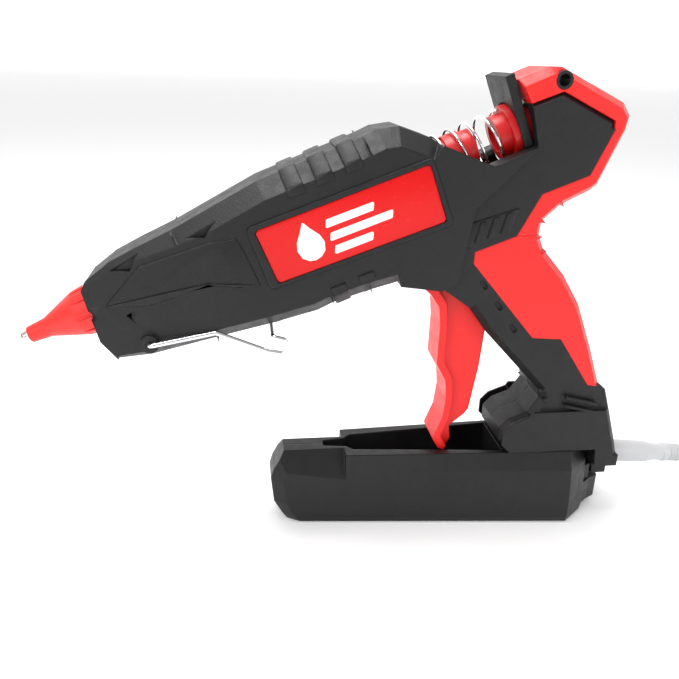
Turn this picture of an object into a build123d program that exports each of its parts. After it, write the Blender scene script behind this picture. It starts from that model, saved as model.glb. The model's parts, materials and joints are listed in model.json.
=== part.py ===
from build123d import *
import math
import os

os.makedirs("parts", exist_ok=True)

# ---------------------------------------------------------------- frame
# Origin: middle of the stand's flat underside. +X to the handle and cord,
# -X to the nozzle, +Z up. The gun is symmetric about the plane y = 0.

# ---------------------------------------------------------------- sizes
BARREL_ANGLE = 23.2
TIP_X = -196.0
TIP_Z = 97.8
BODY_HALF = 19.5
WALL = 2.6
BLOCK_HALF = 17.0
GRIP_HALF = 16.0
FOOT_HALF = 18.0
SPRING_R = 10.9
SPRING_WIRE_R = 0.6
PIVOT_X = 14.0
PIVOT_Z = 118.0
BAIL_X = -141.0
BAIL_Z = 100.0
BAIL_Y = 20.3
BAIL_R = 1.0
CORD_D = 7.0
EYE_X = 28.5
EYE_Z = 209.3
EYE_R = 3.6
EYE_BORE = 2.4
COVER_SPLIT_Z = 146.0

C = math.cos(math.radians(BARREL_ANGLE))
S = math.sin(math.radians(BARREL_ANGLE))
BARREL = Plane(origin=(TIP_X, 0, TIP_Z), x_dir=(C, 0, S), z_dir=(0, -1, 0))


def on_barrel(s, t=0.0, y=0.0):
    """Point at s along the barrel from the tip and t above its axis."""
    return (TIP_X + s * C - t * S, y, TIP_Z + s * S + t * C)


def across(s):
    """Plane across the barrel at s, local y up, normal to the rear."""
    return Plane(origin=on_barrel(s), x_dir=(0, 1, 0), z_dir=(C, 0, S))


def done(name, thing):
    thing.part.label = name
    export_step(thing.part, "parts/" + name + ".step")


def turned(name, outline):
    """Solid of revolution about the barrel axis from (s, radius) points."""
    with BuildPart() as thing:
        with BuildSketch(BARREL):
            with BuildLine():
                Polyline(*outline, close=True)
            make_face()
        revolve(axis=Axis(on_barrel(0), (C, 0, S)))
    done(name, thing)


def mirrored(name, thing):
    """The same piece for the far side."""
    with BuildPart() as other:
        add(mirror(thing.part, Plane.XZ, mode=Mode.PRIVATE))
    done(name, other)


# ---------------------------------------------------------------- outlines
NOSE_TOP = [
    (-168, 122), (-166, 126), (-156, 134), (-145, 140), (-130, 147.5), (-95, 167.5),
    (-52, 185.5), (-46, 188.5), (-37, 190), (-23, 185.5),
]
GAP = [(-20, 183.5), (2, 175.5), (8, 178), (20.5, 183.5)]
FOOT = [
    (68.5, 72.4), (71, 70.2), (75.5, 57.4), (80.2, 43.3), (82.8, 34.6), (82.8, 19), (75.5, 19),
    (74.5, 27), (71, 29), (70, 38.3), (26, 38.3), (21, 43), (21, 50), (25, 54.5), (34, 58), (39, 66), (38, 70),
]
FRONT_OF_GRIP = [(9, 100), (-1, 113), (-14, 122)]
UNDERSIDE = [
    (-34, 124.5), (-46, 121), (-62, 115.5), (-69, 112), (-88, 106.5), (-112, 100.5),
    (-141, 93), (-155, 91.5), (-162, 99.5),
]
INLAY = [
    (16, 200), (29, 205), (53, 194), (53, 191), (45, 172), (25, 164), (16, 146),
    (-2, 139), (-2, 134), (30, 98), (44, 97), (61, 73), (67, 72),
]
COVER_BACK = [
    (10.7, 208.8), (23.5, 214.2), (28.5, 214.2), (57.4, 201), (61, 196), (60.2, 190.3),
    (51.3, 167.3), (48.2, 164.7), (35.9, 158.4), (28.6, 151.4), (28.2, 145.3), (31, 139),
    (42.3, 127), (51.9, 112.7), (61.3, 91), (68.5, 72.4),
]
BLACK = NOSE_TOP + GAP + INLAY + FOOT + FRONT_OF_GRIP + UNDERSIDE
RED = COVER_BACK + INLAY[::-1]
WHOLE = NOSE_TOP + GAP + COVER_BACK + FOOT[1:] + FRONT_OF_GRIP + UNDERSIDE


def outline_face(points, height=0.0):
    """Face at y = -height bounded by the given (x, z) points."""
    with BuildSketch(Plane.XZ.offset(height)) as face:
        with BuildLine():
            Polyline(*points, close=True)
        make_face()
    return face.sketch


def inset(points, amount):
    """Clockwise outline moved inward by one wall thickness."""
    lines = []
    for start, end in zip(points, points[1:] + points[:1]):
        dx = end[0] - start[0]
        dz = end[1] - start[1]
        length = math.hypot(dx, dz)
        lines.append((start[0] + amount * dz / length, start[1] - amount * dx / length, dx, dz))
    result = []
    for a, b in zip(lines[-1:] + lines[:-1], lines):
        cross = a[2] * b[3] - a[3] * b[2]
        along = ((b[0] - a[0]) * b[3] - (b[1] - a[1]) * b[2]) / cross
        result.append((a[0] + along * a[2], a[1] + along * a[3]))
    return result


def bevel(points, half, inset, depth):
    """Slope the outer edge of a slab along a run of outline points."""
    for start, end in zip(points, points[1:]):
        dx = end[0] - start[0]
        dz = end[1] - start[1]
        length = math.hypot(dx, dz)
        plane = Plane(origin=(start[0], 0, start[1]), x_dir=(0, -1, 0), z_dir=(dx, 0, dz))
        reach = inset * (depth + 1) / depth
        with BuildSketch(plane) as wedge:
            with BuildLine():
                Polyline(
                    (half - depth, 0), (half - depth, -4), (half + 1, -4), (half + 1, reach),
                    close=True,
                )
            make_face()
        extrude(wedge.sketch, amount=length, mode=Mode.SUBTRACT)


def hollow(depth):
    """Take out the space inside both half shells."""
    extrude(outline_face(inset(WHOLE, WALL)), amount=depth, mode=Mode.SUBTRACT)


def drill(radius, start, end):
    """Round hole along the barrel axis from s = start to s = end."""
    with BuildSketch(across(start)) as hole:
        Circle(radius)
    extrude(hole.sketch, amount=end - start, mode=Mode.SUBTRACT)


def round_y(x, z, radius, start, end, mode=Mode.ADD):
    """Round bar or hole along y, from y = -start to y = -end."""
    with BuildSketch(Plane.XZ.offset(start)) as disc:
        with Locations((x, z)):
            Circle(radius)
    extrude(disc.sketch, amount=end - start, mode=mode)


def block_y(points, start, end, mode=Mode.ADD):
    """Prism of (x, z) points from y = -start to y = -end."""
    extrude(outline_face(points, start), amount=end - start, mode=mode)


def cut_other_side():
    """Remove whatever reaches past the mid-plane."""
    with BuildSketch(Plane.XZ) as other_side:
        with Locations((0, 120)):
            Rectangle(500, 400)
    extrude(other_side.sketch, amount=-40, mode=Mode.SUBTRACT)


# ---------------------------------------------------------------- gun half shells
SCREWS = [(-132, 104.5), (-104, 154), (-40, 180), (-74, 124), (27, 91), (49, 76), (54, 47)]
LABEL_POCKET = [(-96, 148.2), (-26, 176), (-16, 152.6), (-86.5, 127)]
LABEL = [(-95.7, 148), (-26.2, 175.6), (-16.4, 152.8), (-86.3, 127.4)]
TRIGGER_MOUTH = [(-38, 112), (-38, 134), (-8, 134), (-2, 124), (13, 101), (12, 73), (-16, 73)]
GRIP_SLOT = [(-16, 128), (18, 106), (21, 76), (2, 76), (-16, 100)]
ROCKER = Plane(origin=(78.5, 0, 48), x_dir=(0, 1, 0), z_dir=(0.94, 0, 0.34))
RELIEF = Plane(origin=(84, 0, 26.9), x_dir=(0, 1, 0), z_dir=(1, 0, -0.087))

with BuildPart() as right_shell:
    block_y(BLACK, 0, BODY_HALF)
    # the grip and block are narrower than the barrel body
    block_y([(-9, 126), (-4, 158), (20, 183), (14, 202), (30, 207), (60, 207), (60, 60), (0, 60)],
            BLOCK_HALF, BODY_HALF + 1, Mode.SUBTRACT)
    block_y([(-16, 60), (-16, 122), (-9, 126), (0, 136), (100, 150), (100, 60)],
            GRIP_HALF, BODY_HALF + 1, Mode.SUBTRACT)
    block_y([(15, 10), (15, 60), (100, 70), (100, 10)], FOOT_HALF, BODY_HALF + 1, Mode.SUBTRACT)
    # the nose narrows in plan
    with BuildSketch(Plane.XY.offset(80)) as plan:
        with BuildLine():
            Polyline((-175, -11.5), (-112, -19.6), (-112, -30), (-175, -30), close=True)
        make_face()
    extrude(plan.sketch, amount=90, mode=Mode.SUBTRACT)
    bevel(NOSE_TOP[1:] + GAP[:1], BODY_HALF, 7.0, 9.0)
    bevel(UNDERSIDE[:-1], BODY_HALF, 6.0, 8.0)
    bevel(FOOT[:5], FOOT_HALF, 2.5, 3.0)
    bevel(FOOT[10:] + FRONT_OF_GRIP[:2], GRIP_HALF, 3.0, 3.5)
    bevel(INLAY[:4], BLOCK_HALF, 2.0, 3.0)
    hollow(12.5)
    # wider room for the heating chamber behind the label
    block_y([(-150, 112), (-96, 145), (-50, 162), (-44, 132), (-92, 114), (-140, 103)],
            0, 15.0, Mode.SUBTRACT)
    block_y(LABEL_POCKET, BODY_HALF - 1.2, BODY_HALF + 1, Mode.SUBTRACT)
    # the cord boss under the heel is narrower than the foot
    block_y([(75.5, 19), (74.5, 27), (75, 30), (82.8, 30), (82.8, 19)], 0, 9.0)
    block_y([(73, 15), (73, 28.5), (84, 28.5), (84, 15)], 9.0, FOOT_HALF + 1, Mode.SUBTRACT)
    # mouth for the trigger and the slot in the front of the grip
    block_y(TRIGGER_MOUTH, 0, 10.0, Mode.SUBTRACT)
    block_y(GRIP_SLOT, 0, 6.0, Mode.SUBTRACT)
    # nose opening, spring trough and the opening in the front of the block
    drill(12.9, 30, 60)
    drill(12.9, 180, 250)
    # three slots in the side of the grip
    for x, z in [(4, 124), (12, 114), (20, 103)]:
        with BuildSketch(Plane.XZ.offset(GRIP_HALF - 1)) as slot:
            with Locations((x, z)):
                SlotOverall(5, 2, rotation=-50)
        extrude(slot.sketch, amount=3, mode=Mode.SUBTRACT)
    # boss and bearing hole for the wire stand
    round_y(BAIL_X, BAIL_Z, 4.0, 8.0, 18.2)
    round_y(BAIL_X, BAIL_Z, BAIL_R + 0.05, 7.9, 18.5, Mode.SUBTRACT)
    # screw bosses
    for x, z in SCREWS:
        round_y(x, z, 3.6, 0, 13.5)
    for x, z in SCREWS:
        round_y(x, z, 1.5, -0.1, 12.0, Mode.SUBTRACT)
    # bearing bosses for the trigger pivot
    round_y(PIVOT_X, PIVOT_Z, 4.5, 5.0, 13.5)
    round_y(PIVOT_X, PIVOT_Z, 2.55, 4.9, 12.0, Mode.SUBTRACT)
    # window for the power switch and hole for the cord
    with BuildSketch(ROCKER.offset(4)) as window:
        Rectangle(12.4, 17.4)
    extrude(window.sketch, amount=-13, mode=Mode.SUBTRACT)
    with BuildSketch(RELIEF.offset(-4.3)) as cord_hole:
        Circle(6.2)
    extrude(cord_hole.sketch, amount=20, mode=Mode.SUBTRACT)
    round_y(EYE_X, EYE_Z, EYE_R + 0.05, -1, 20, Mode.SUBTRACT)
    # tongue that drops into the stand
    block_y([(30, 24), (30, 41), (60, 41), (60, 24)], 0, 9.0)
    # everything stays on this side of the mid-plane
    cut_other_side()
done("right_shell", right_shell)
mirrored("left_shell", right_shell)


def red_half(name, low, high):
    """One half of the red back of the gun between two heights, and its twin."""
    with BuildPart() as half:
        block_y(RED, 0, GRIP_HALF)
        bevel(COVER_BACK, GRIP_HALF, 3.0, 4.5)
        hollow(12.5)
        # room for the feed carriage and its jaw
        drill(12.9, 225, 246)
        # collar that guides the glue stick in
        with BuildSketch(across(254)) as collar:
            Circle(8.6)
        extrude(collar.sketch, amount=8)
        drill(6.7, 240, 262)
        drill(7.6, 262, 300)
        round_y(EYE_X, EYE_Z, EYE_R + 0.05, -1, 20, Mode.SUBTRACT)
        round_y(PIVOT_X, PIVOT_Z, 4.6, 0, 13.6, Mode.SUBTRACT)
        cut_other_side()
        with BuildSketch(Plane.XY.offset(low)) as kept:
            Rectangle(400, 100)
        extrude(kept.sketch, amount=high - low, mode=Mode.INTERSECT)
    done(name + "_right", half)
    mirrored(name + "_left", half)


red_half("rear_cover", COVER_SPLIT_Z, 220)
red_half("grip_back", 60, COVER_SPLIT_Z)

with BuildPart() as label_right:
    block_y(LABEL, BODY_HALF - 1.2, BODY_HALF + 0.1)
done("label_right", label_right)
mirrored("label_left", label_right)

with BuildPart() as shell_screws:
    for x, z in SCREWS:
        round_y(x, z, 1.45, -12, 11.5)
        round_y(x, z, 1.2, 11.5, 11.9)
done("shell_screws", shell_screws)

# ---------------------------------------------------------------- hot end and barrel
turned("nozzle_tip", [(-1, 0.8), (-1, 2.4), (0, 2.6), (6, 2.9), (13.8, 4.0), (13.8, 0.8)])
turned("melt_chamber", [
    (14, 1.5), (14, 4.2), (24, 7.4), (34, 7.8), (36, 9), (96, 9), (96, 5.75), (38, 5.75),
    (26, 4.5), (18, 1.5),
])
turned("front_ring", [(34.6, 9.2), (34.6, 12.3), (40, 12.7), (40, 9.2)])
turned("stick_sleeve", [
    (90, 9.05), (90, 11.2), (126, 11.2), (126, 8.3), (104, 8.3), (104, 6), (97, 6), (97, 9.05),
])
turned("guide_tube", [
    (104.2, 6), (104.2, 8.2), (184, 8.2), (184, 12.4), (188, 12.4), (188, 8.2), (199, 8.2),
    (199, 9.4), (206, 9.4), (206, 8.4), (211, 8.4), (211, 6),
])

with BuildPart() as nozzle_cover:
    with BuildSketch(BARREL) as cone:
        with BuildLine():
            Polyline(
                (2.5, 3.2), (2.5, 3.7), (11, 4.4), (27, 10.3), (34, 11.2), (34, 8.9),
                (24, 7.7), (13.9, 4.4), (6, 3.2), close=True,
            )
        make_face()
    revolve(cone.sketch, axis=Axis(on_barrel(0), (C, 0, S)))
    # lengthwise grooves round the cone
    for index in range(10):
        turn = Rot(0, 0, 36 * index)
        with BuildSketch(across(36) * turn * Pos(10.9, 0, 0)) as groove:
            Rectangle(1.6, 1.3)
        extrude(groove.sketch, amount=-18, mode=Mode.SUBTRACT)
done("nozzle_cover", nozzle_cover)

with BuildPart() as heater_element:
    with BuildSketch(across(46) * Pos(0, -11.4, 0)) as slab_face:
        RectangleRounded(13, 4.4, 0.8)
    extrude(slab_face.sketch, amount=38)
done("heater_element", heater_element)

with BuildPart() as heater_clip:
    with BuildSketch(across(58)) as band:
        with Locations((0, -2.5)):
            RectangleRounded(20, 24.4, 5)
            RectangleRounded(18.8, 23.2, 4.4, mode=Mode.SUBTRACT)
    extrude(band.sketch, amount=14)
done("heater_clip", heater_clip)

with BuildPart() as return_spring:
    with BuildLine() as coil_line:
        Helix(pitch=7.2, height=36.2, radius=SPRING_R, center=on_barrel(188.8), direction=(C, 0, S))
    with BuildSketch(Plane(origin=coil_line.line @ 0, z_dir=coil_line.line % 0)) as wire:
        Circle(SPRING_WIRE_R)
    sweep(wire.sketch, path=coil_line.line)
done("return_spring", return_spring)

with BuildPart() as arch_plate:
    with BuildSketch(across(228.6)) as arch:
        with Locations((0, 8.8)):
            Rectangle(26, 30.2)
        Circle(12.6, mode=Mode.SUBTRACT)
    extrude(arch.sketch, amount=3.8)
done("arch_plate", arch_plate)

with BuildPart() as hanging_eye:
    round_y(EYE_X, EYE_Z, EYE_R, -15.9, 15.9)
    round_y(EYE_X, EYE_Z, EYE_BORE, -16, 16, Mode.SUBTRACT)
done("hanging_eye", hanging_eye)

# ---------------------------------------------------------------- feed carriage and jaw
with BuildPart() as feed_carriage:
    with BuildSketch(BARREL) as ring:
        with BuildLine():
            Polyline(
                (221, 6.1), (221, 9.2), (226, 9.2), (226, 11.9), (229, 11.9), (229, 8.6),
                (252, 8.6), (252, 6.1), close=True,
            )
        make_face()
    revolve(ring.sketch, axis=Axis(on_barrel(0), (C, 0, S)))
    # window in the tube for the jaw
    with BuildSketch(across(236) * Pos(0, 8, 0)) as window:
        Rectangle(6.4, 8)
    extrude(window.sketch, amount=10, mode=Mode.SUBTRACT)
    # rail under the spring and the lug that the trigger pushes
    with BuildSketch(across(204) * Pos(0, -13.2, 0)) as rail:
        Rectangle(10, 2.4)
    extrude(rail.sketch, amount=46)
    with BuildSketch(across(231) * Pos(0, -10.4, 0)) as web:
        Rectangle(10, 5)
    extrude(web.sketch, amount=19)
    with BuildSketch(across(204) * Pos(0, -17.5, 0)) as lug:
        Rectangle(12, 11)
    extrude(lug.sketch, amount=5)
    with BuildSketch(across(200)) as bore:
        Circle(6.1)
    extrude(bore.sketch, amount=60, mode=Mode.SUBTRACT)
done("feed_carriage", feed_carriage)

with BuildPart() as feed_jaw:
    with BuildSketch(across(237) * Pos(0, 9.2, 0)) as jaw:
        Rectangle(5.6, 6)
    extrude(jaw.sketch, amount=7.6)
done("feed_jaw", feed_jaw)

# ---------------------------------------------------------------- trigger
TRIGGER_WEB = [
    (-34, 124), (-35, 133), (-14, 130.5), (2, 127), (12, 124.5), (19, 120), (18.5, 113),
    (11, 98), (10, 80), (7, 57), (5, 54), (-2, 48), (-1, 41), (-2.5, 38), (-5, 36.4), (-8, 38),
    (-11, 43), (-7, 54), (-6, 65), (-7, 74), (-12, 83), (-12, 102), (-13, 111), (-18, 118),
    (-25, 123),
]
TRIGGER_PAD = [
    (-34, 124), (-34, 128), (-24, 127), (-15, 121), (-9.5, 113), (-8.5, 102), (-8.5, 84),
    (-3.5, 75), (-2.5, 65), (-3.5, 54), (-7, 44), (-4, 39), (-5, 36.4), (-8, 38), (-11, 43),
    (-7, 54), (-6, 65), (-7, 74), (-12, 83), (-12, 102), (-13, 111), (-18, 118), (-25, 123),
]
with BuildPart() as trigger:
    block_y(TRIGGER_WEB, -4.8, 4.8)
    block_y(TRIGGER_PAD, -9.0, 9.0)
    round_y(PIVOT_X, PIVOT_Z, 6.0, -4.8, 4.8)
    block_y([(8.5, 120), (5.4, 160), (5.6, 163.5), (8.5, 165), (10.5, 160), (18, 120)], -3.0, 3.0)
    round_y(6.8, 162.9, 2.6, -3.0, 3.0)
    round_y(PIVOT_X, PIVOT_Z, 2.58, -5, 5, Mode.SUBTRACT)
done("trigger", trigger)

with BuildPart() as trigger_pin:
    round_y(PIVOT_X, PIVOT_Z, 2.5, -11.9, 11.9)
done("trigger_pin", trigger_pin)

# ---------------------------------------------------------------- wire stand under the nose
with BuildPart() as wire_stand:
    with BuildLine() as leg:
        FilletPolyline(
            (-89, 0, 103.2), (-89, -BAIL_Y, 103.2), (-83, -BAIL_Y, 101.5), (-84, -BAIL_Y, 95.2),
            (-91, -BAIL_Y, 96.6), (-113, -BAIL_Y, 105.6), (BAIL_X, -BAIL_Y, BAIL_Z),
            (BAIL_X, -9, BAIL_Z), radius=1.6,
        )
    with BuildSketch(Plane(origin=leg.line @ 0, z_dir=leg.line % 0)) as wire:
        Circle(BAIL_R)
    sweep(wire.sketch, path=leg.line)
    mirror(about=Plane.XZ)
done("wire_stand", wire_stand)

# ---------------------------------------------------------------- switch and wiring
with BuildPart() as switch_housing:
    with BuildSketch(ROCKER.offset(-8)) as box:
        Rectangle(12, 17)
    extrude(box.sketch, amount=8.6)
    with BuildSketch(ROCKER.offset(0.6)) as well:
        Rectangle(10.4, 14.6)
    extrude(well.sketch, amount=-6.4, mode=Mode.SUBTRACT)
done("switch_housing", switch_housing)

with BuildPart() as rocker:
    with BuildSketch(Plane(origin=(78.5, 5, 48), x_dir=(0.34, 0, -0.94), z_dir=(0, -1, 0))) as side:
        with BuildLine():
            Polyline((-6.5, -1), (-6.5, 3.4), (0, 1.0), (6.5, 2.0), (6.5, -1), (2, -4), (-2, -4), close=True)
        make_face()
    extrude(side.sketch, amount=10)
done("rocker", rocker)

with BuildPart() as terminal_block:
    with BuildSketch(Plane.XY.offset(84)) as base:
        with Locations((49, 0)):
            Rectangle(13, 16)
    extrude(base.sketch, amount=11)
    with BuildSketch(Plane.XY.offset(90)) as wells:
        with Locations((49, -4), (49, 4)):
            Rectangle(9, 5)
    extrude(wells.sketch, amount=6, mode=Mode.SUBTRACT)
done("terminal_block", terminal_block)

with BuildPart() as heater_leads:
    for side in (-1, 1):
        with BuildLine() as run:
            FilletPolyline(
                (48, 4 * side, 91), (30, 10 * side, 126), (6, 10 * side, 150),
                (-42, 10 * side, 150), (-78, 9 * side, 131), (-112, 4 * side, 119.5), radius=8,
            )
        with BuildSketch(Plane(origin=run.line @ 0, z_dir=run.line % 0)) as section:
            Circle(1.0)
        sweep(section.sketch, path=run.line)
done("heater_leads", heater_leads)

with BuildPart() as cord_clamp:
    with BuildSketch(Plane.XY.offset(32.4)) as bar:
        with Locations((76.3, 0)):
            RectangleRounded(6, 21, 1)
        with Locations((76.3, -7.5), (76.3, 7.5)):
            Circle(1.2, mode=Mode.SUBTRACT)
    extrude(bar.sketch, amount=3)
done("cord_clamp", cord_clamp)


def turned_about(name, start, direction, outline):
    """Solid of revolution about any axis from (distance, radius) points."""
    along = Vector(*direction).normalized()
    side = along.cross(Vector(0, 0, 1)).normalized()
    with BuildPart() as thing:
        with BuildSketch(Plane(origin=start, x_dir=along, z_dir=along.cross(side))) as half:
            with BuildLine():
                Polyline(*outline, close=True)
            make_face()
        revolve(half.sketch, axis=Axis(start, direction))
    done(name, thing)


turned_about("strain_relief", (84, 0, 26.9), (1, 0, -0.087), [
    (-4, 3.6), (-4, 6.0), (24, 5.6), (29, 4.5), (34, 4.4), (34.6, 4.9), (37, 4.9),
    (37.6, 4.3), (45, 4.1), (45, 3.6),
])

# ---------------------------------------------------------------- mains cord and plug
# The spare cord is folded into a tied hank beside the cord's way in: two turns
# side by side, two layers of them, and a half turn on top that ends in the plug.
HANK_START = 246.0
HANK_END = 298.0
HANK_Y = 6.5
HANK_OUT = 31.5
HANK_IN = 17.5
HANK_MIDDLE = 24.5
LAYER_TOP = 14.2
PLUG = (243, HANK_Y + HANK_MIDDLE, 23.1)
PLUG_REAR = 12.0
PLUG_FRONT = 24.0
CORD_MAIN = [(110, 0, 24.6), (146, 0, 21.5), (180, -10, 6), (206, -21.5, 3.7), (226, -21.5, 3.7)]
CORD_END = [(297.8, 31, 17.8), (283.5, 31, 17.8), (269.3, 31, 23.1), (255, 31, 23.1)]


def bend_radii(points):
    """Bend radius at each inner point, from the shorter run beside it."""
    radii = []
    for a, b, c in zip(points, points[1:], points[2:]):
        first = Vector(*b) - Vector(*a)
        second = Vector(*c) - Vector(*b)
        turn = math.radians(first.get_angle(second))
        radii.append(0.45 * min(first.length, second.length) / math.tan(turn / 2))
    return radii


def cord_tube(points):
    """Round cord along straight runs joined by tangent arcs."""
    radii = bend_radii(points)
    with BuildPart() as tube:
        with BuildLine() as run:
            FilletPolyline(*points, radius=radii)
        with BuildSketch(Plane(origin=run.line @ 0, z_dir=run.line % 0)) as section:
            Circle(CORD_D / 2)
        sweep(section.sketch, path=run.line)
    length = sum(edge.length for edge in run.line.edges())
    section_volume = math.pi * (CORD_D / 2) ** 2 * length
    print("cord radii", [round(r, 1) for r in radii], "run", round(length, 1),
          "volume", round(tube.part.volume), "of", round(section_volume))
    return tube.part


with BuildPart() as cord:
    for points in (CORD_MAIN, CORD_END):
        add(cord_tube(points))
done("cord", cord)

HANK_PLACE = ((HANK_START + HANK_END) / 2, HANK_Y)
HANK_RUN = HANK_END - HANK_START
with BuildPart() as cord_hank:
    with BuildSketch(Plane.XY.offset(0.2)) as layers:
        with Locations(HANK_PLACE):
            SlotCenterToCenter(HANK_RUN, 2 * HANK_OUT)
            SlotCenterToCenter(HANK_RUN, 2 * HANK_IN, mode=Mode.SUBTRACT)
    extrude(layers.sketch, amount=LAYER_TOP - 0.2)
    # the half turn on top keeps its near side and its far fold
    with BuildSketch(Plane.XY.offset(LAYER_TOP)) as half_turn:
        with Locations(HANK_PLACE):
            SlotCenterToCenter(HANK_RUN, 2 * HANK_MIDDLE + CORD_D)
            SlotCenterToCenter(HANK_RUN, 2 * HANK_MIDDLE - CORD_D, mode=Mode.SUBTRACT)
        with Locations((HANK_START - 50, HANK_Y)):
            Rectangle(100, 100, mode=Mode.SUBTRACT)
        with Locations((HANK_END - 100, HANK_Y + 50)):
            Rectangle(200, 100, mode=Mode.SUBTRACT)
    extrude(half_turn.sketch, amount=CORD_D)
    with BuildSketch(Plane(origin=(226.2, -21.5, 3.7), z_dir=(1, 0, 0))) as lead_in:
        Circle(CORD_D / 2)
    extrude(lead_in.sketch, amount=HANK_START - 226.2)
done("cord_hank", cord_hank)

turned_about("plug_body", PLUG, (-1, 0, 0), [
    (-PLUG_REAR, 3.6), (-PLUG_REAR, 4.4), (3, 5.4), (6, 8.8), (23, 8.8), (PLUG_FRONT, 8.0),
    (PLUG_FRONT, 0), (0.1, 0), (0.1, 3.6),
])

with BuildPart() as plug_blades:
    face = Plane(origin=PLUG, x_dir=(0, 1, 0), z_dir=(-1, 0, 0)).offset(PLUG_FRONT)
    with BuildSketch(face) as blades:
        with Locations((-6.35, 0), (6.35, 0)):
            Rectangle(1.5, 6.3)
    extrude(blades.sketch, amount=17)
done("plug_blades", plug_blades)

# ---------------------------------------------------------------- stand
STAND_TOP = 38.0


def stand_plan(height, base, taper, nose):
    """Half plan of the stand: half width base + taper * x, front end at x = nose."""
    corners = [(nose, 3 - base - taper * nose)]
    corners += [(x, -base - taper * x) for x in (nose + 6, 57.5)]
    with BuildSketch(Plane.XY.offset(height)) as plan:
        with BuildLine():
            Polyline(
                (nose, 0), *corners, (69.2, 9.5 - base - taper * 57.5), (69.2, 0), close=True,
            )
        make_face()
    return plan.sketch


# height, half width at x = 0, its change along x, front end
LEVELS = [
    (4, 18.9, 0.094, -84.5), (11, 18.9, 0.094, -88.5), (24, 17.9, 0.08, -90),
    (29, 17.4, 0.075, -88.5), (STAND_TOP, 15.4, 0.05, -83.5),
]

with BuildPart() as stand_right:
    for lower, upper in zip(LEVELS, LEVELS[1:]):
        loft([stand_plan(*lower), stand_plan(*upper)])
    # hollow under the tray floor
    with BuildSketch(Plane.XY.offset(4)) as under:
        with BuildLine():
            Polyline(
                (-81.5, 0), (-81.5, -5), (-76.5, -8), (56, -20.8), (66.5, -12), (66.5, 0), close=True,
            )
        make_face()
    extrude(under.sketch, amount=9, mode=Mode.SUBTRACT)
    # tray that the trigger tip runs in, with a narrow run-out to the front
    with BuildSketch(Plane.XY.offset(16)) as tray:
        with BuildLine():
            Polyline((-64, 0), (-64, -2.5), (-53, -4), (-50, -7.2), (23, -14), (23, 0), close=True)
        make_face()
        with Locations((45, -5)):
            Rectangle(33, 10)
    extrude(tray.sketch, amount=30, mode=Mode.SUBTRACT)
    # sloping shoulder at the nozzle end
    with BuildSketch(Plane.YZ.offset(-95)) as shoulder:
        with BuildLine():
            Polyline((-5, 39), (-14, 24), (-30, 24), (-30, 50), (-5, 50), close=True)
        make_face()
    extrude(shoulder.sketch, amount=41, mode=Mode.SUBTRACT)
    # screw posts
    for x, y in [(-56, -8), (50, -15)]:
        with BuildSketch(Plane.XY.offset(4)) as post:
            with Locations((x, y)):
                Circle(3.2)
        extrude(post.sketch, amount=10)
        with BuildSketch(Plane.XY.offset(3)) as hole:
            with Locations((x, y)):
                Circle(1.5)
        extrude(hole.sketch, amount=9, mode=Mode.SUBTRACT)
done("stand_right", stand_right)
mirrored("stand_left", stand_right)

with BuildPart() as base_plate:
    loft([stand_plan(0.8, 18.4, 0.09, -82), stand_plan(*LEVELS[0])])
    mirror(about=Plane.XZ)
    for x, y in [(-56, -8), (-56, 8), (50, -15), (50, 15)]:
        with BuildSketch(Plane.XY.offset(0.5)) as hole:
            with Locations((x, y)):
                Circle(1.6)
        extrude(hole.sketch, amount=4, mode=Mode.SUBTRACT)
        with BuildSketch(Plane.XY.offset(0.5)) as head:
            with Locations((x, y)):
                Circle(3.1)
        extrude(head.sketch, amount=2.5, mode=Mode.SUBTRACT)
done("base_plate", base_plate)

with BuildPart() as stand_screws:
    for x, y in [(-56, -8), (-56, 8), (50, -15), (50, 15)]:
        with BuildSketch(Plane.XY.offset(1.6)) as head:
            with Locations((x, y)):
                Circle(3.0)
        extrude(head.sketch, amount=1.4)
        with BuildSketch(Plane.XY.offset(3)) as shank:
            with Locations((x, y)):
                Circle(1.45)
        extrude(shank.sketch, amount=8.5)
done("stand_screws", stand_screws)

with BuildPart() as rubber_feet:
    for x, y in [(-74, -6), (-74, 6), (0, 0), (55, -17), (55, 17)]:
        with BuildSketch(Plane.XY) as pad:
            with Locations((x, y)):
                Circle(3.6)
        extrude(pad.sketch, amount=0.8)
done("rubber_feet", rubber_feet)

with BuildPart() as stand_tail:
    with BuildSketch(Plane.XY.offset(3)) as low:
        with BuildLine():
            Polyline((69.3, -13.5), (75, -9), (80.5, -6), (80.5, 6), (75, 9), (69.3, 13.5), close=True)
        make_face()
    extrude(low.sketch, amount=13)
    with BuildSketch(Plane.XY.offset(16)) as high:
        with BuildLine():
            Polyline((69.3, -11), (74, -9), (74, 9), (69.3, 11), close=True)
        make_face()
    extrude(high.sketch, amount=8.8)
done("stand_tail", stand_tail)
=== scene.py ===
"""Glue gun in its stand: camera, cord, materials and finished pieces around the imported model."""
import json
import math

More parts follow.
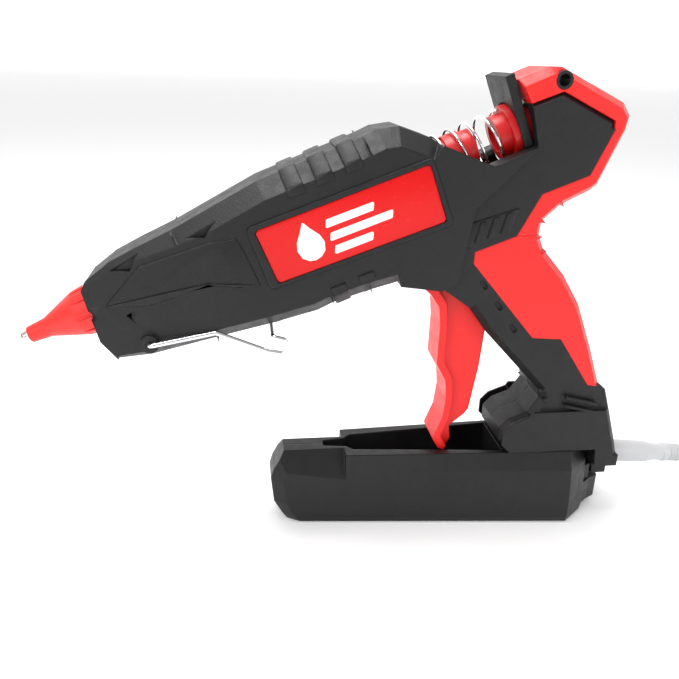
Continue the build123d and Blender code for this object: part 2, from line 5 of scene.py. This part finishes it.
import bmesh
import bpy
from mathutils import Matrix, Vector


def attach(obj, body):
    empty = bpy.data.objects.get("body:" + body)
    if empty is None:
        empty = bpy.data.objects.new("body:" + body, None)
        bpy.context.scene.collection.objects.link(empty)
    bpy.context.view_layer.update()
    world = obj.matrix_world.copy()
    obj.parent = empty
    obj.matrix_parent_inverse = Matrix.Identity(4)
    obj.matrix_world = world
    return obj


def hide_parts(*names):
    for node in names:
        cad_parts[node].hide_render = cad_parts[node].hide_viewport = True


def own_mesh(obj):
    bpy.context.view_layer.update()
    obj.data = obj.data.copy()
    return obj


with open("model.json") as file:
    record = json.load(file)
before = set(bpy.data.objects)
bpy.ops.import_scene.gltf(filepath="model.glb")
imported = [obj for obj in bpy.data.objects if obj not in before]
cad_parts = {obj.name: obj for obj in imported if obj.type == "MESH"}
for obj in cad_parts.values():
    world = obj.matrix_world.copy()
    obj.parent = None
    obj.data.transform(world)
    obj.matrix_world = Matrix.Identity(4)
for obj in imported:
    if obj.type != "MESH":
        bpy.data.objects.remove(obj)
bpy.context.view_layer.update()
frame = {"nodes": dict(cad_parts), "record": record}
MM = 0.001

# ---------------------------------------------------------------- driving sizes (as in the CAD)
BARREL_ANGLE = math.radians(23.2)
TIP = Vector((-0.196, 0, 0.0978))
ALONG = Vector((math.cos(BARREL_ANGLE), 0, math.sin(BARREL_ANGLE)))
UP = Vector((-math.sin(BARREL_ANGLE), 0, math.cos(BARREL_ANGLE)))
SIDE = Vector((0, 1, 0))


def on_barrel(s, t=0.0, y=0.0):
    """Point at s mm along the barrel, t mm above its axis and y mm across."""
    return TIP + ALONG * s * MM + UP * t * MM + SIDE * y * MM


# ---------------------------------------------------------------- camera
camera_data = bpy.data.cameras.new("camera")
camera_data.lens = 37.1
camera_data.sensor_width = 36
camera = bpy.data.objects.new("camera", camera_data)
camera.location = (-0.1002, -0.300, 0.2148)
camera.rotation_euler = [math.radians(a) for a in (68.1, -1.63, -7.5)]
bpy.context.collection.objects.link(camera)
bpy.context.scene.camera = camera


# ---------------------------------------------------------------- materials
def material(name, color, roughness, metallic=0.0, coat=0.0):
    """Principled material with the plain values set on its sockets."""
    mat = bpy.data.materials.new(name)
    mat.use_nodes = True
    shader = mat.node_tree.nodes["Principled BSDF"]
    shader.inputs["Base Color"].default_value = (*color, 1)
    shader.inputs["Roughness"].default_value = roughness
    shader.inputs["Metallic"].default_value = metallic
    shader.inputs["Coat Weight"].default_value = coat
    return mat, mat.node_tree, shader


def texture_space(tree):
    """Object coordinates, so that the grain stays with the piece."""
    return tree.nodes.new("ShaderNodeTexCoord").outputs["Object"]


def noise(tree, scale, detail):
    """Noise value from 0 to 1 over the piece."""
    node = tree.nodes.new("ShaderNodeTexNoise")
    node.inputs["Scale"].default_value = scale
    node.inputs["Detail"].default_value = detail
    tree.links.new(texture_space(tree), node.inputs["Vector"])
    return node.outputs["Fac"]


def ramp(tree, value, low, high, start=0.3, end=0.7):
    """Two-stop colour ramp driven by a 0..1 value."""
    node = tree.nodes.new("ShaderNodeValToRGB")
    node.color_ramp.elements[0].position = start
    node.color_ramp.elements[0].color = low
    node.color_ramp.elements[1].position = end
    node.color_ramp.elements[1].color = high
    tree.links.new(value, node.inputs["Fac"])
    return node.outputs["Color"]


def grey(value):
    """Grey as a colour ramp takes it."""
    return (value, value, value, 1)


def add_bump(tree, shader, value, strength, distance, edge=0.0):
    """Bump from a value, with the piece's edges shaded round over that radius if there is one."""
    node = tree.nodes.new("ShaderNodeBump")
    if edge:
        rounding = tree.nodes.new("ShaderNodeBevel")
        rounding.samples = 6
        rounding.inputs["Radius"].default_value = edge
        tree.links.new(rounding.outputs["Normal"], node.inputs["Normal"])
    node.inputs["Strength"].default_value = strength
    node.inputs["Distance"].default_value = distance
    tree.links.new(value, node.inputs["Height"])
    tree.links.new(node.outputs["Normal"], shader.inputs["Normal"])


def moulded(name, color, roughness, grain, grain_depth, variation=0.12, specular=0.5, edge=0.0):
    """Moulded plastic: fine grain, slight colour drift and uneven gloss."""
    mat, tree, shader = material(name, color, roughness)
    shader.inputs["Specular IOR Level"].default_value = specular
    drift = noise(tree, 38.0, 2.0)
    low = [c * (1 - variation) for c in color]
    high = [min(1.0, c * (1 + variation)) for c in color]
    tree.links.new(ramp(tree, drift, (*low, 1), (*high, 1)), shader.inputs["Base Color"])
    gloss = ramp(tree, noise(tree, 210.0, 2.0), grey(roughness - 0.06), grey(roughness + 0.07))
    tree.links.new(gloss, shader.inputs["Roughness"])
    add_bump(tree, shader, noise(tree, grain, 2.0), 0.35, grain_depth, edge)
    return mat


def metal(name, color, roughness, scratch=900.0, depth=0.00002):
    """Metal with fine uneven polish."""
    mat, tree, shader = material(name, color, roughness, metallic=1.0)
    gloss = ramp(tree, noise(tree, scratch, 4.0), grey(roughness * 0.7), grey(roughness * 1.4))
    tree.links.new(gloss, shader.inputs["Roughness"])
    add_bump(tree, shader, noise(tree, scratch * 2, 2.0), 0.2, depth)
    return mat


BLACK = moulded(
    "black_plastic", (0.009, 0.009, 0.010), 0.46, 1500.0, 0.00035, specular=0.32, edge=0.0011)
BLACK_SMOOTH = moulded(
    "black_smooth", (0.008, 0.008, 0.009), 0.3, 3200.0, 0.00003, specular=0.4, edge=0.0005)
STAND_BLACK = moulded(
    "stand_plastic", (0.009, 0.009, 0.010), 0.42, 1700.0, 0.0003, specular=0.32, edge=0.001)
RED_GRIP = moulded("red_grip", (0.83, 0.012, 0.010), 0.38, 2600.0, 0.00008, 0.04, 0.4, 0.0014)
RED_GLOSS = moulded("red_gloss", (0.66, 0.002, 0.002), 0.22, 3000.0, 0.00001, 0.03, 0.3, 0.0003)
RED_FEED = moulded("red_feed", (0.55, 0.008, 0.008), 0.35, 2600.0, 0.00003, 0.06, 0.5, 0.0004)
RED_SILICONE = moulded("red_silicone", (0.78, 0.02, 0.015), 0.45, 1500.0, 0.00006, 0.05, 0.4, 0.0004)
WHITE_PRINT = moulded("white_print", (0.86, 0.86, 0.85), 0.35, 3000.0, 0.00001, 0.02)
# painted shade: the white cord plastic is given a mid-grey base colour so that the cord, plug and
# relief ribs read as shaded against the white floor
CORD_PAINTED_SHADE_GREY = moulded("cord_white", (0.52, 0.53, 0.54), 0.42, 1800.0, 0.00004, 0.04, 0.5, 0.0004)
RUBBER_BLACK = moulded("rubber_black", (0.012, 0.012, 0.012), 0.7, 2200.0, 0.00006)
AMBER_FILM = moulded("amber_film", (0.55, 0.22, 0.03), 0.3, 900.0, 0.00004)
CHROME = metal("chrome", (0.78, 0.79, 0.80), 0.12)
STEEL = metal("steel", (0.55, 0.55, 0.56), 0.3)
ALUMINIUM = metal("aluminium", (0.70, 0.70, 0.71), 0.35)
NICKEL = metal("nickel", (0.66, 0.63, 0.58), 0.25)
BRASS = metal("brass", (0.72, 0.56, 0.25), 0.28)

FINISH = {
    "shell_black": BLACK, "grip_red": RED_GRIP, "label_red": RED_GLOSS, "stand_black": STAND_BLACK,
    "silicone_red": RED_SILICONE, "nozzle_metal": NICKEL, "chamber_metal": ALUMINIUM,
    "ring_metal": ALUMINIUM, "heater_film": AMBER_FILM, "spring_steel": STEEL, "wire_chrome": CHROME,
    "feed_red": RED_FEED, "guide_red": RED_FEED, "screw_steel": STEEL, "pin_steel": STEEL,
    "switch_black": BLACK_SMOOTH, "switch_red": RED_GLOSS, "terminal_white": CORD_PAINTED_SHADE_GREY,
    "lead_white": CORD_PAINTED_SHADE_GREY, "cord_white": CORD_PAINTED_SHADE_GREY, "plug_white": CORD_PAINTED_SHADE_GREY,
    "blade_brass": BRASS, "foot_rubber": RUBBER_BLACK,
}
SLOT_OF = {entry["node"]: entry["material_slot"] for entry in frame["record"]["subparts"]}
BODY_OF = {}
for body_name, body_nodes in frame["record"]["behaviour"]["bodies"].items():
    for node_name in body_nodes:
        BODY_OF[node_name] = body_name


def finish_as(obj, slot_name):
    """Give a piece the material for the record slot of that name."""
    obj.data.materials.clear()
    obj.data.materials.append(FINISH[slot_name])


def new_object(name, data):
    """Object for that data, linked into the scene."""
    obj = bpy.data.objects.new(name, data)
    bpy.context.collection.objects.link(obj)
    return obj


for node_name, node in frame["nodes"].items():
    for material_slot in node.material_slots:
        material_slot.material = FINISH[SLOT_OF[node_name]]


# ---------------------------------------------------------------- cord
CORD_D = 0.007
CORD_MAIN = [(110, 0, 24.6), (146, 0, 21.5), (180, -10, 6), (206, -21.5, 3.7), (226, -21.5, 3.7)]
CORD_END = [(283.5, 31, 17.8), (269.3, 31, 23.1), (255, 31, 23.1)]
HANK_START = 246.0
HANK_END = 298.0
HANK_Y = 6.5
OUTER_TURN = 28.0
INNER_TURN = 21.0
TOP_TURN = 24.5
LAYERS = (3.7, 10.7, 17.7)
# radius and height of each turn: two turns side by side, two more on them, half a turn on top
TURNS = [
    (OUTER_TURN, LAYERS[0]), (INNER_TURN, LAYERS[0]), (INNER_TURN, LAYERS[1]),
    (OUTER_TURN, LAYERS[1]), (TOP_TURN, LAYERS[2]), (TOP_TURN, LAYERS[2]),
]
# where the points stand: shares of a straight run, and degrees round a half-turn fold
RUN_STOPS = (0.15, 0.5, 0.85)
FOLD_STOPS = [15 + 30 * step for step in range(6)]


def folded(x, angle, radius, height):
    """Point on a fold of the hank about the fold centre at x."""
    turn = math.radians(angle)
    return (x + radius * math.cos(turn), HANK_Y + radius * math.sin(turn), height)


def hank_points():
    """Turns of the hank, each one moving over to the next in its near fold."""
    points = []
    run = HANK_END - HANK_START
    for (radius, height), (next_radius, next_height) in zip(TURNS, TURNS[1:]):
        points += [(HANK_START + run * share, HANK_Y - radius, height) for share in RUN_STOPS]
        points += [folded(HANK_END, angle - 90, radius, height) for angle in FOLD_STOPS]
        if height == LAYERS[2]:
            break
        points += [(HANK_END - run * share, HANK_Y + radius, height) for share in RUN_STOPS]
        for angle in FOLD_STOPS:
            share = angle / 180
            points.append(folded(HANK_START, angle + 90, radius + (next_radius - radius) * share,
                                 height + (next_height - height) * share))
    return points


def nurbs_curve(name, points, bevel):
    """Round tube of that radius along points in millimetres."""
    curve = bpy.data.curves.new(name, "CURVE")
    curve.dimensions = "3D"
    curve.bevel_depth = bevel
    curve.bevel_resolution = 5
    curve.use_fill_caps = True
    spline = curve.splines.new("NURBS")
    spline.points.add(len(points) - 1)
    for point, place in zip(spline.points, points):
        point.co = (place[0] * MM, place[1] * MM, place[2] * MM, 1)
    spline.order_u = 3
    spline.use_endpoint_u = True
    return new_object(name, curve)


cord = nurbs_curve("mains_cord", CORD_MAIN + hank_points() + CORD_END, CORD_D / 2)
finish_as(cord, "cord_white")
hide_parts("cord", "cord_hank")
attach(cord, "gun")


# ---------------------------------------------------------------- mesh helpers
SHARP_EDGE = math.radians(35)


def mm(point):
    """Vector in metres from a point in millimetres."""
    return Vector(point) * MM


def mesh_piece(name, points, faces, slot_name, body, smooth=True):
    """New piece from points in millimetres and faces."""
    mesh = bpy.data.meshes.new(name)
    mesh.from_pydata([mm(point) for point in points], [], faces)
    work = bmesh.new()
    work.from_mesh(mesh)
    bmesh.ops.recalc_face_normals(work, faces=work.faces)
    for face in work.faces:
        face.smooth = smooth
    for edge in work.edges:
        edge.smooth = edge.calc_face_angle(0.0) < SHARP_EDGE if edge.is_manifold else True
    work.to_mesh(mesh)
    work.free()
    piece = new_object(name, mesh)
    finish_as(piece, slot_name)
    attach(piece, body)
    return piece


def rounded(corners, radius, steps=5, closed=True):
    """Outline with an arc of that radius, or as large as fits, at each corner."""
    outline = []
    count = len(corners)
    for index, corner in enumerate(corners):
        if not closed and index in (0, count - 1):
            outline.append(Vector(corner))
            continue
        here = Vector(corner)
        before = Vector(corners[index - 1]) - here
        after = Vector(corners[(index + 1) % count]) - here
        half_turn = (math.pi - before.angle(after)) / 2
        reach = min(radius * math.tan(half_turn), 0.45 * before.length, 0.45 * after.length)
        start = here + before.normalized() * reach
        end = here + after.normalized() * reach
        for step in range(steps + 1):
            share = step / steps
            first = start.lerp(here, share)
            outline.append(first.lerp(here.lerp(end, share), share))
    return outline


def inset(outline, amount):
    """Closed (x, z) outline moved inward by that amount."""
    moved = []
    area = sum(a.x * b.y - b.x * a.y for a, b in zip(outline, outline[1:] + outline[:1]))
    turn = 1 if area > 0 else -1
    for before, here, after in zip(outline[-1:] + outline[:-1], outline, outline[1:] + outline[:1]):
        along = (after - before).normalized()
        moved.append(here + Vector((-along.y, along.x)) * amount * turn)
    return moved


def ring_faces(rings, count, closed=True):
    """Faces that join each ring of that many points to the next one."""
    faces = []
    for ring in range(rings - 1):
        for index in range(count if closed else count - 1):
            nxt = (index + 1) % count
            faces.append((ring * count + index, ring * count + nxt,
                          (ring + 1) * count + nxt, (ring + 1) * count + index))
    return faces


def plate(name, corners, low, high, slot_name, body, radius=1.5, rim=0.5, side=None):
    """Flat moulded plate from y = low out to y = high, with rounded corners and rim."""
    outline = rounded(corners, radius)
    sign = 1 if high > low else -1
    rings = [(0.0, low), (0.0, high - sign * rim)]
    rings += [(rim * (1 - math.cos(turn)), high - sign * rim * (1 - math.sin(turn)))
              for turn in (math.radians(30), math.radians(60), math.radians(90))]
    points = []
    for shrink, depth in rings:
        for place in inset(outline, shrink):
            shift = side(place.x) * sign if side else 0.0
            points.append((place.x, depth + shift, place.y))
    count = len(outline)
    faces = ring_faces(len(rings), count)
    faces.append(tuple(range((len(rings) - 1) * count, len(rings) * count)))
    return mesh_piece(name, points, faces, slot_name, body)


def frame_ring(name, outer, inner, low, high, slot_name, body):
    """Raised rim between two outlines with the same number of corners."""
    sign = 1 if high > low else -1
    outside = rounded(outer, 3.0)
    inside = rounded(inner, 1.6)
    rings = [(outside, low), (outside, high - 0.5 * sign), (inset(outside, 0.5), high),
             (inset(inside, -0.4), high), (inside, high - 0.4 * sign), (inside, low)]
    points = [(place.x, depth, place.y) for outline, depth in rings for place in outline]
    return mesh_piece(name, points, ring_faces(len(rings), len(outside)), slot_name, body)


# cross-section of a band: share of its width, and how far below the surface line
BAND_PROFILE = [(-0.5, -1.6), (-0.5, -0.35), (-0.4, 0.0), (0.4, 0.0), (0.5, -0.35), (0.5, -1.6)]
BODY_CORE = Vector((0, -6))


def ribbon(name, path, middle, width, slot_name, body):
    """Raised band round the body: a path of (y, t) corners across the barrel, at s = middle."""
    line = rounded(path, 2.5, 4, closed=False)
    points = []
    for index, place in enumerate(line):
        along = line[min(index + 1, len(line) - 1)] - line[max(index - 1, 0)]
        normal = Vector((along.y, -along.x)).normalized()
        if normal.dot(place - BODY_CORE) < 0:
            normal = -normal
        for share, drop in BAND_PROFILE:
            out = place + normal * drop
            points.append(on_barrel(middle + share * width, out.y, out.x) / MM)
    count = len(BAND_PROFILE)
    faces = ring_faces(len(line), count, closed=False)
    faces.append(tuple(range(count)))
    faces.append(tuple(range((len(line) - 1) * count, len(line) * count)))
    return mesh_piece(name, points, faces, slot_name, body)


def wedge(points, inward, outward, direction):
    """Cutter over a polygon of points, reaching in and out along a direction."""
    way = Vector(direction).normalized()
    low = [Vector(point) - way * inward for point in points]
    high = [Vector(point) + way * outward for point in points]
    count = len(points)
    faces = [tuple(range(count)), tuple(range(2 * count - 1, count - 1, -1))]
    for index in range(count):
        nxt = (index + 1) % count
        faces.append((index, nxt, count + nxt, count + index))
    return low + high, faces


def carve(piece, cutters):
    """Cut recesses out of a finished piece."""
    for points, faces in cutters:
        mesh = bpy.data.meshes.new("cutter")
        mesh.from_pydata([mm(point) for point in points], [], faces)
        work = bmesh.new()
        work.from_mesh(mesh)
        bmesh.ops.recalc_face_normals(work, faces=work.faces)
        work.to_mesh(mesh)
        work.free()
        tool = new_object("cutter", mesh)
        cut = piece.modifiers.new("recess", "BOOLEAN")
        cut.operation = "DIFFERENCE"
        cut.solver = "EXACT"
        cut.object = tool
        bpy.context.view_layer.update()
        depsgraph = bpy.context.evaluated_depsgraph_get()
        carved = bpy.data.meshes.new_from_object(piece.evaluated_get(depsgraph))
        piece.modifiers.remove(cut)
        piece.data = carved
        bpy.data.objects.remove(tool)


WELD = 2e-6


def copied(node_name):
    """Copy of a CAD node's shape that stands for it, ready for more detail."""
    source = frame["nodes"][node_name]
    work = bmesh.new()
    work.from_mesh(source.data)
    work.transform(source.matrix_world)
    bmesh.ops.remove_doubles(work, verts=work.verts, dist=WELD)
    mesh = bpy.data.meshes.new(node_name + "_finished")
    work.to_mesh(mesh)
    work.free()
    piece = new_object(node_name + "_finished", mesh)
    finish_as(piece, SLOT_OF[node_name])
    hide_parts(node_name)
    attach(piece, BODY_OF[node_name])
    return piece


# ---------------------------------------------------------------- body shells
SIDES = (("right", -1), ("left", 1))
BODY_HALF = 19.5
NOSE_POCKET = [(-131.7, 146.5), (-109.5, 157.0), (-115.9, 145.6)]
TIP_POCKET = [(-155.5, 131.5), (-143.4, 139.3), (-147, 131)]
# each pocket with the distance of its surface from the middle plane
POCKETS = ((NOSE_POCKET, 18.0), (TIP_POCKET, 14.5))
POCKET_DEPTH = 1.6
POCKET_OVERRUN = 6.0
NOSE_TAPER = 0.128
NOSE_START = -112


def nose_side(x):
    """How far the nose's side stands in from the body's, at x."""
    return min(0.0, NOSE_TAPER * (x - NOSE_START))


for side_name, sign in SIDES:
    shell = copied(side_name + "_shell")
    pockets = []
    for corners, half in POCKETS:
        surface = [(x, sign * half, z) for x, z in corners]
        pockets.append(wedge(surface, POCKET_DEPTH, POCKET_OVERRUN, (-0.1, sign * 0.85, 0.5)))
    carve(shell, pockets)

TOP_BAND = [(0, 25.0), (-10.8, 25.0), (-20.2, 17.8), (-20.3, 14.5)]
LOW_BAND = [(-3, -38.0), (-11.6, -38.0), (-20.1, -31.0), (-20.2, -27.5)]
# name, path over the right side, places along the barrel and width
BANDS = (
    ("top_band", TOP_BAND, (133.8, 146.4, 159.0), 7.4),
    ("low_band", LOW_BAND, (134.6, 147.4), 7.0),
)
for side_name, sign in SIDES:
    for band_name, path, middles, width in BANDS:
        for index, middle in enumerate(middles):
            ribbon(f"{band_name}_{side_name}_{index}", [(-sign * y, t) for y, t in path], middle,
                   width, "shell_black", "gun")

NOSE_FACET = [
    (-159.2, 115.3), (-143.5, 133.6), (-114.7, 144.4), (-103.5, 146.0), (-100.5, 141.0),
    (-93.5, 125.5), (-104.4, 125.3), (-115.4, 126.3), (-139.4, 116.7),
]
for side_name, sign in SIDES:
    plate("nose_facet_" + side_name, NOSE_FACET, sign * (BODY_HALF - 0.8), sign * (BODY_HALF + 0.7),
          "shell_black", "gun", radius=1.0, rim=0.7, side=nose_side)

# ---------------------------------------------------------------- label with its frame
LABEL = [(-96.2, 148.9), (-25.2, 176.3), (-16.2, 153.0), (-86.4, 126.8)]
LABEL_FRAME = [(-100.0, 150.0), (-24.4, 179.2), (-12.9, 151.7), (-89.6, 123.8)]
LABEL_LEAN = math.atan2(LABEL[1][1] - LABEL[0][1], LABEL[1][0] - LABEL[0][0])
LABEL_MIDDLE = Vector((-56.0, 151.3))


def on_label(across, up):
    """(x, z) from the label's middle, across along its length and up its height."""
    run = Vector((math.cos(LABEL_LEAN), math.sin(LABEL_LEAN)))
    rise = Vector((-math.sin(LABEL_LEAN), math.cos(LABEL_LEAN)))
    place = LABEL_MIDDLE + run * across + rise * up
    return (place.x, place.y)


DROP = [(0, 9.0), (-2.2, 5.2), (-5.0, 1.4), (-6.0, -2.0), (-5.0, -5.6), (-2.6, -7.6), (0, -8.2),
        (2.6, -7.6), (5.0, -5.6), (6.0, -2.0), (5.0, 1.4), (2.2, 5.2)]
DROP_PLACE = -19
# start, length and height of each bar beside the drop
BARS = ((-9.5, 21.0, 4.6), (-9.5, 27.5, -1.2), (-9.5, 17.0, -7.0))
BAR_HALF = 1.7
BAR_SLANT = 1.4
for side_name, sign in SIDES:
    label = plate("label_" + side_name + "_finished", LABEL, sign * (BODY_HALF - 1.2),
                  sign * (BODY_HALF + 0.25), "label_red", "gun", radius=2.2, rim=0.3)
    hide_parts("label_" + side_name)
    frame_ring("label_frame_" + side_name, LABEL_FRAME, LABEL, sign * (BODY_HALF - 0.5),
               sign * (BODY_HALF + 1.0), "shell_black", "gun")
    printed = [[on_label(DROP_PLACE + x, y) for x, y in DROP]]
    for start, length, height in BARS:
        end = start + length
        printed.append([
            on_label(start, height + BAR_HALF), on_label(end, height + BAR_HALF),
            on_label(end - BAR_SLANT, height - BAR_HALF),
            on_label(start - BAR_SLANT, height - BAR_HALF),
        ])
    for index, corners in enumerate(printed):
        mark = plate(f"label_print_{side_name}_{index}", corners, sign * (BODY_HALF + 0.1),
                     sign * (BODY_HALF + 0.33), "label_red", "gun", radius=0.8, rim=0.05)
        mark.data.materials[0] = WHITE_PRINT

# ---------------------------------------------------------------- side panel and foot ribs
PANEL = [(-7.0, 141.5), (-5.5, 151.5), (16.5, 158.6), (13.2, 148.6), (-3.0, 140.6)]
PANEL_RIB = [(0, 0), (2.2, 9.2), (4.6, 10.0), (2.4, 0.8)]
PANEL_RIB_STARTS = [(-3.0 + 5.6 * index, 142.8 + 2.0 * index) for index in range(3)]
FOOT_RIB = [(50.0, 68.6), (66.5, 64.4), (66.2, 62.9), (49.8, 67.1)]
FOOT_RIB_DROPS = (0.0, 4.4)
RIM = 0.4
for side_name, sign in SIDES:
    plate("side_panel_" + side_name, PANEL, sign * 16.4, sign * 17.5, "shell_black", "gun", 1.2, RIM)
    for index, (x, z) in enumerate(PANEL_RIB_STARTS):
        corners = [(x + across, z + up) for across, up in PANEL_RIB]
        plate(f"panel_rib_{side_name}_{index}", corners, sign * 17.0, sign * 18.2,
              "shell_black", "gun", 0.5, RIM)
    for index, drop in enumerate(FOOT_RIB_DROPS):
        corners = [(x, z - drop) for x, z in FOOT_RIB]
        plate(f"foot_rib_{side_name}_{index}", corners, sign * 17.0, sign * 18.6,
              "shell_black", "gun", 0.4, RIM)

# ---------------------------------------------------------------- ribs of the strain relief
RELIEF_START = Vector((84, 0, 26.9))
RELIEF_WAY = Vector((1, 0, -0.087)).normalized()
RIB_PLACES = [38.6 + 1.75 * index for index in range(4)]
# place along the relief and radius of each ring of a rib
RIB_RINGS = ((-0.45, 4.1), (-0.3, 4.7), (0.3, 4.7), (0.45, 4.1))
RIB_SIDES = 28
for index, place in enumerate(RIB_PLACES):
    centre = RELIEF_START + RELIEF_WAY * place
    points = []
    for depth, radius in RIB_RINGS:
        for step in range(RIB_SIDES):
            angle = 2 * math.pi * step / RIB_SIDES
            out = SIDE * math.cos(angle) + RELIEF_WAY.cross(SIDE) * math.sin(angle)
            points.append(centre + RELIEF_WAY * depth + out * radius)
    mesh_piece(f"relief_rib_{index}", points, ring_faces(len(RIB_RINGS), RIB_SIDES), "cord_white",
               "gun")

# ---------------------------------------------------------------- return spring, fixed to the gun
spring = frame["nodes"]["return_spring"]
spring_mesh = spring.data.copy()
spring_mesh.transform(spring.matrix_world)
spring_piece = new_object("feed_spring", spring_mesh)
finish_as(spring_piece, "wire_chrome")
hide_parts("return_spring")
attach(spring_piece, "gun")
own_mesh(spring_piece)

# ---------------------------------------------------------------- floor and light
def sheet_of(name, corners, color, glow):
    """Large flat studio surface."""
    mesh = bpy.data.meshes.new(name)
    mesh.from_pydata(corners, [], [(0, 1, 2, 3)])
    surface = new_object(name, mesh)
    mat, _, shader = material(name, (color, color, color), 0.9)
    shader.inputs["Specular IOR Level"].default_value = 0.0
    shader.inputs["Emission Color"].default_value = (1, 1, 1, 1)
    shader.inputs["Emission Strength"].default_value = glow
    mesh.materials.append(mat)
    return surface


ROOM_HALF = 30
ROOM_FRONT = -6
ROOM_BACK = 9
ROOM_HEIGHT = 25
FLOOR = [
    (-ROOM_HALF, ROOM_FRONT, 0), (ROOM_HALF, ROOM_FRONT, 0),
    (ROOM_HALF, ROOM_BACK, 0), (-ROOM_HALF, ROOM_BACK, 0),
]
BACKDROP = [
    (-ROOM_HALF, ROOM_BACK, 0), (ROOM_HALF, ROOM_BACK, 0),
    (ROOM_HALF, ROOM_BACK, ROOM_HEIGHT), (-ROOM_HALF, ROOM_BACK, ROOM_HEIGHT),
]
floor = sheet_of("floor", FLOOR, 0.92, 0.12)
backdrop = sheet_of("backdrop", BACKDROP, 0.9, 0.75)

world = bpy.data.worlds.new("studio")
bpy.context.scene.world = world
world.use_nodes = True
world.node_tree.nodes["Background"].inputs["Color"].default_value = (1, 1, 1, 1)
world.node_tree.nodes["Background"].inputs["Strength"].default_value = 0.55
bpy.context.scene.view_settings.view_transform = "Standard"


def area_light(name, place, target, size, power):
    """Square soft light at a place, turned to its target."""
    data = bpy.data.lights.new(name, "AREA")
    data.size = size
    data.energy = power
    light = new_object(name, data)
    light.location = place
    light.rotation_euler = (Vector(target) - Vector(place)).to_track_quat("-Z", "Y").to_euler()


area_light("top_light", (-0.25, 0.1, 1.0), (-0.05, 0, 0.12), 0.55, 9)
area_light("key_light", (-0.75, -0.75, 0.65), (0, 0, 0.1), 0.4, 5)
area_light("fill_light", (0.8, -0.7, 0.4), (0, 0, 0.1), 0.6, 2.5)
